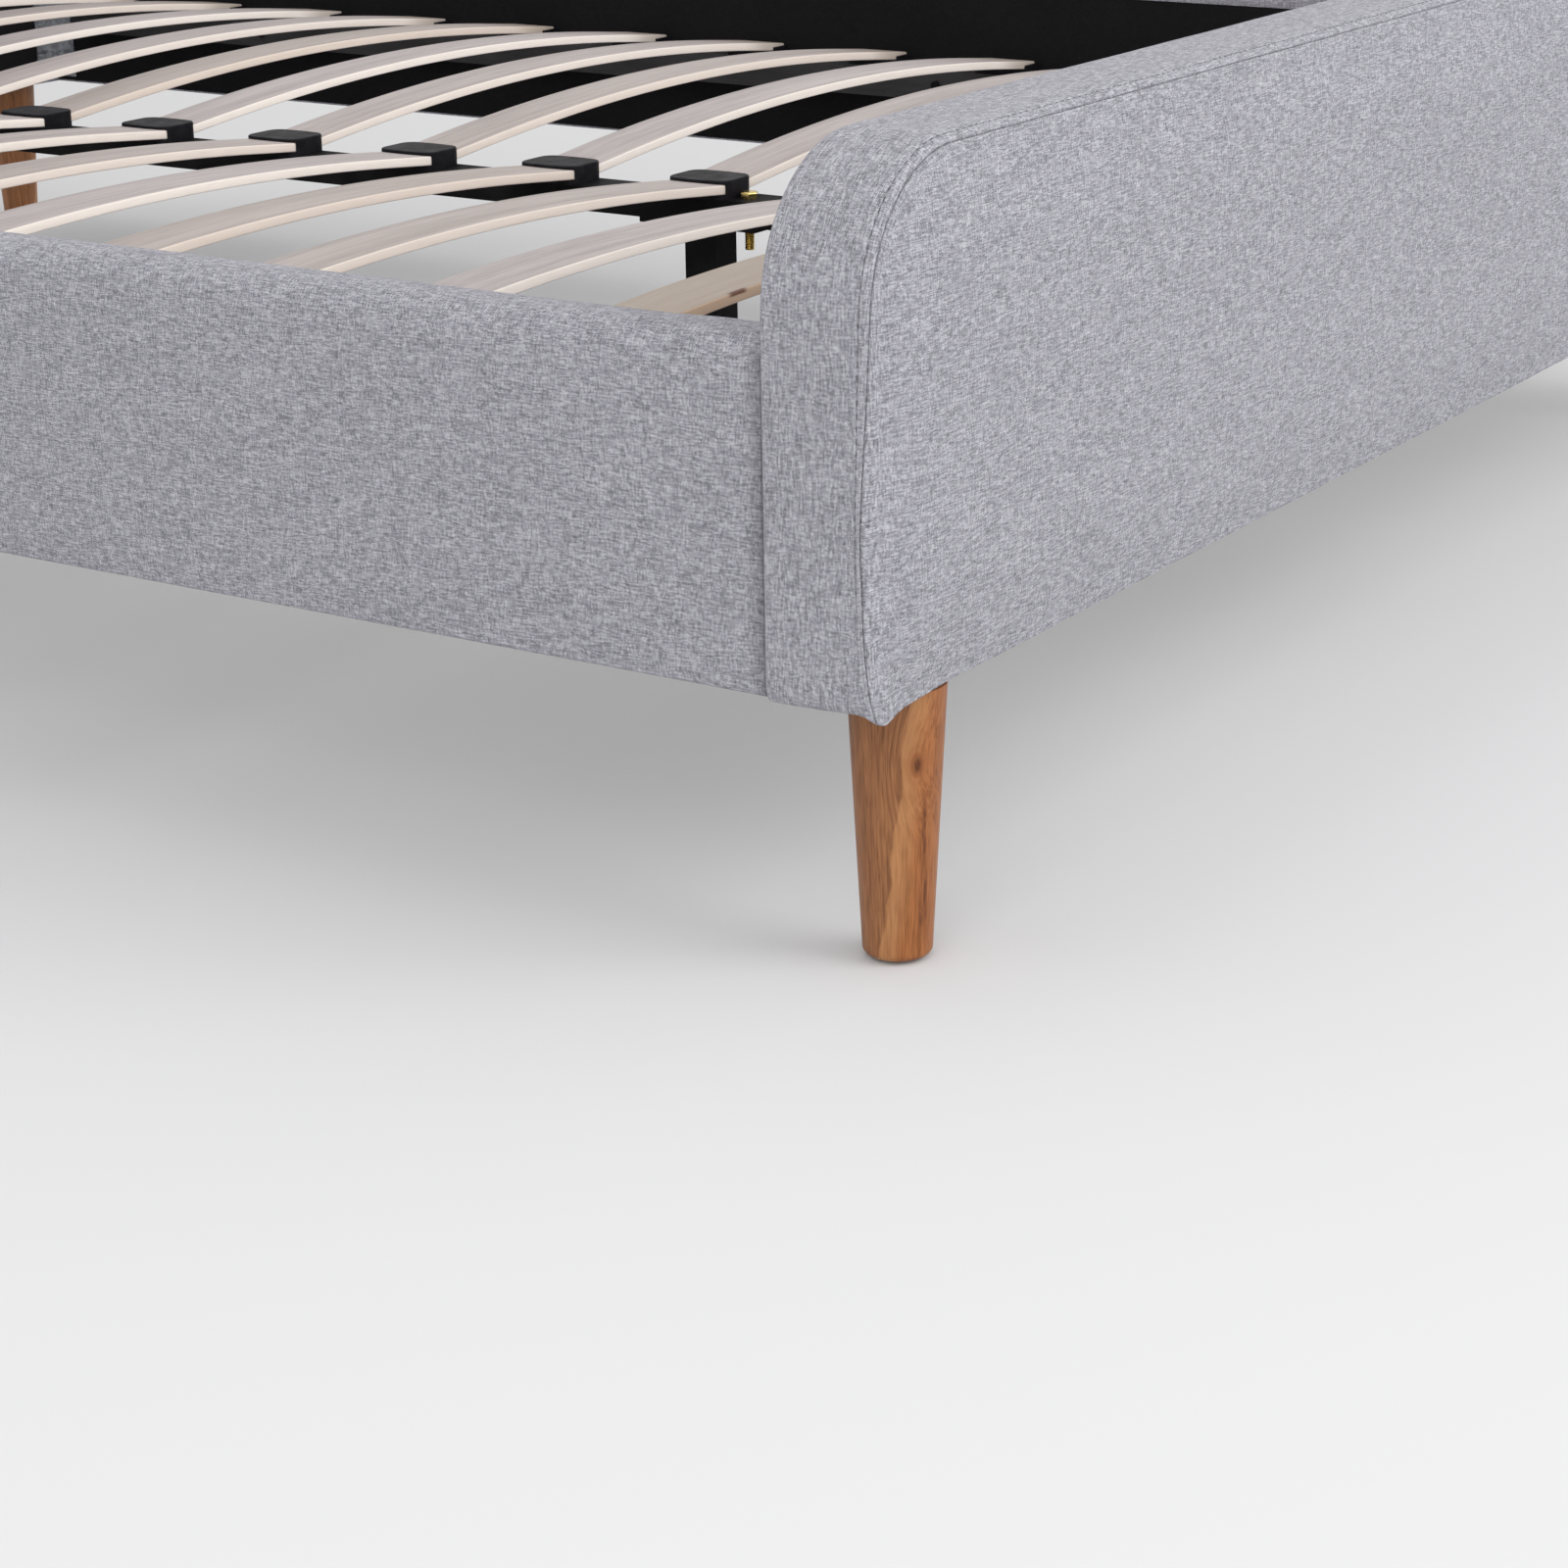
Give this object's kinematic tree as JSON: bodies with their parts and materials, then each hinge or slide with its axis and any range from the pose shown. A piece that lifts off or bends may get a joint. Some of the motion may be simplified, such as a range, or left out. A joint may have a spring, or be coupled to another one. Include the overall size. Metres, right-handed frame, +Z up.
{
  "type": "upholstered slatted bed frame",
  "caption": "Upholstered double bed frame with a padded headboard, low round-cornered footboard, cloth side rails, sprung bent-wood slats on a steel centre rail, and round tapered wooden legs.",
  "frame": {"origin": "middle of the bed's footprint, on the floor", "axes": "+X to the right seen from the foot, +Y from the foot to the head, +Z up"},
  "size_m": [1.64, 2.224, 1.01],
  "materials": {
    "grey_cloth": "heathered light grey linen weave",
    "black_lining": "black non-woven lining",
    "foam": "open-cell foam",
    "frame_timber": "sawn softwood",
    "panel_ply": "thin plywood",
    "black_timber": "black stained batten",
    "leg_wood": "clear satin lacquer on warm hardwood",
    "slat_wood": "pale bent plywood, sealed",
    "black_plastic": "fine-grained moulding",
    "black_steel": "black powder coat",
    "bright_zinc": "bright zinc plate",
    "yellow_zinc": "yellow zinc plate",
    "felt": "pressed felt"
  },
  "bodies": {
    "bed": {"headboard_frame": "frame_timber", "headboard_panels": "panel_ply", "headboard_foam": "foam", "headboard_cover": "grey_cloth", "footboard_frame": "frame_timber", "footboard_panels": "panel_ply", "footboard_foam": "foam", "footboard_cover": "grey_cloth", "right_rail_board": "frame_timber", "left_rail_board": "frame_timber", "right_rail_cover": "grey_cloth", "left_rail_cover": "grey_cloth", "black_linings": "black_lining", "right_slat_ledge": "black_timber", "left_slat_ledge": "black_timber", "slat_holders": "black_plastic", "centre_slat_caps": "black_plastic", "centre_rail": "black_steel", "centre_rail_hangers": "black_steel", "front_centre_leg": "black_steel", "rear_centre_leg": "black_steel", "centre_leg_bolts": "yellow_zinc", "foot_left_leg": "leg_wood", "foot_right_leg": "leg_wood", "head_left_leg": "leg_wood", "head_right_leg": "leg_wood", "leg_studs": "bright_zinc", "leg_inserts": "bright_zinc", "floor_glides": "felt", "corner_brackets": "bright_zinc", "corner_bolts": "bright_zinc", "wood_screws": "black_steel", "slat_left_01": "slat_wood", "slat_left_02": "slat_wood", "slat_left_03": "slat_wood", "slat_left_04": "slat_wood", "slat_left_05": "slat_wood", "slat_left_06": "slat_wood", "slat_left_07": "slat_wood", "slat_left_08": "slat_wood", "slat_left_09": "slat_wood", "slat_left_10": "slat_wood", "slat_left_11": "slat_wood", "slat_left_12": "slat_wood", "slat_left_13": "slat_wood", "slat_right_01": "slat_wood", "slat_right_02": "slat_wood", "slat_right_03": "slat_wood", "slat_right_04": "slat_wood", "slat_right_05": "slat_wood", "slat_right_06": "slat_wood", "slat_right_07": "slat_wood", "slat_right_08": "slat_wood", "slat_right_09": "slat_wood", "slat_right_10": "slat_wood", "slat_right_11": "slat_wood", "slat_right_12": "slat_wood", "slat_right_13": "slat_wood"},
    "front_foot": {"front_levelling_foot": "black_plastic"},
    "rear_foot": {"rear_levelling_foot": "black_plastic"}
  },
  "joints": [
    {"name": "front_foot_screw", "type": "slide", "parent": "bed", "child": "front_foot", "axis": [0, 0, -1], "range_m": [0, 0.012]},
    {"name": "rear_foot_screw", "type": "slide", "parent": "bed", "child": "rear_foot", "axis": [0, 0, -1], "range_m": [0, 0.012]}
  ]
}
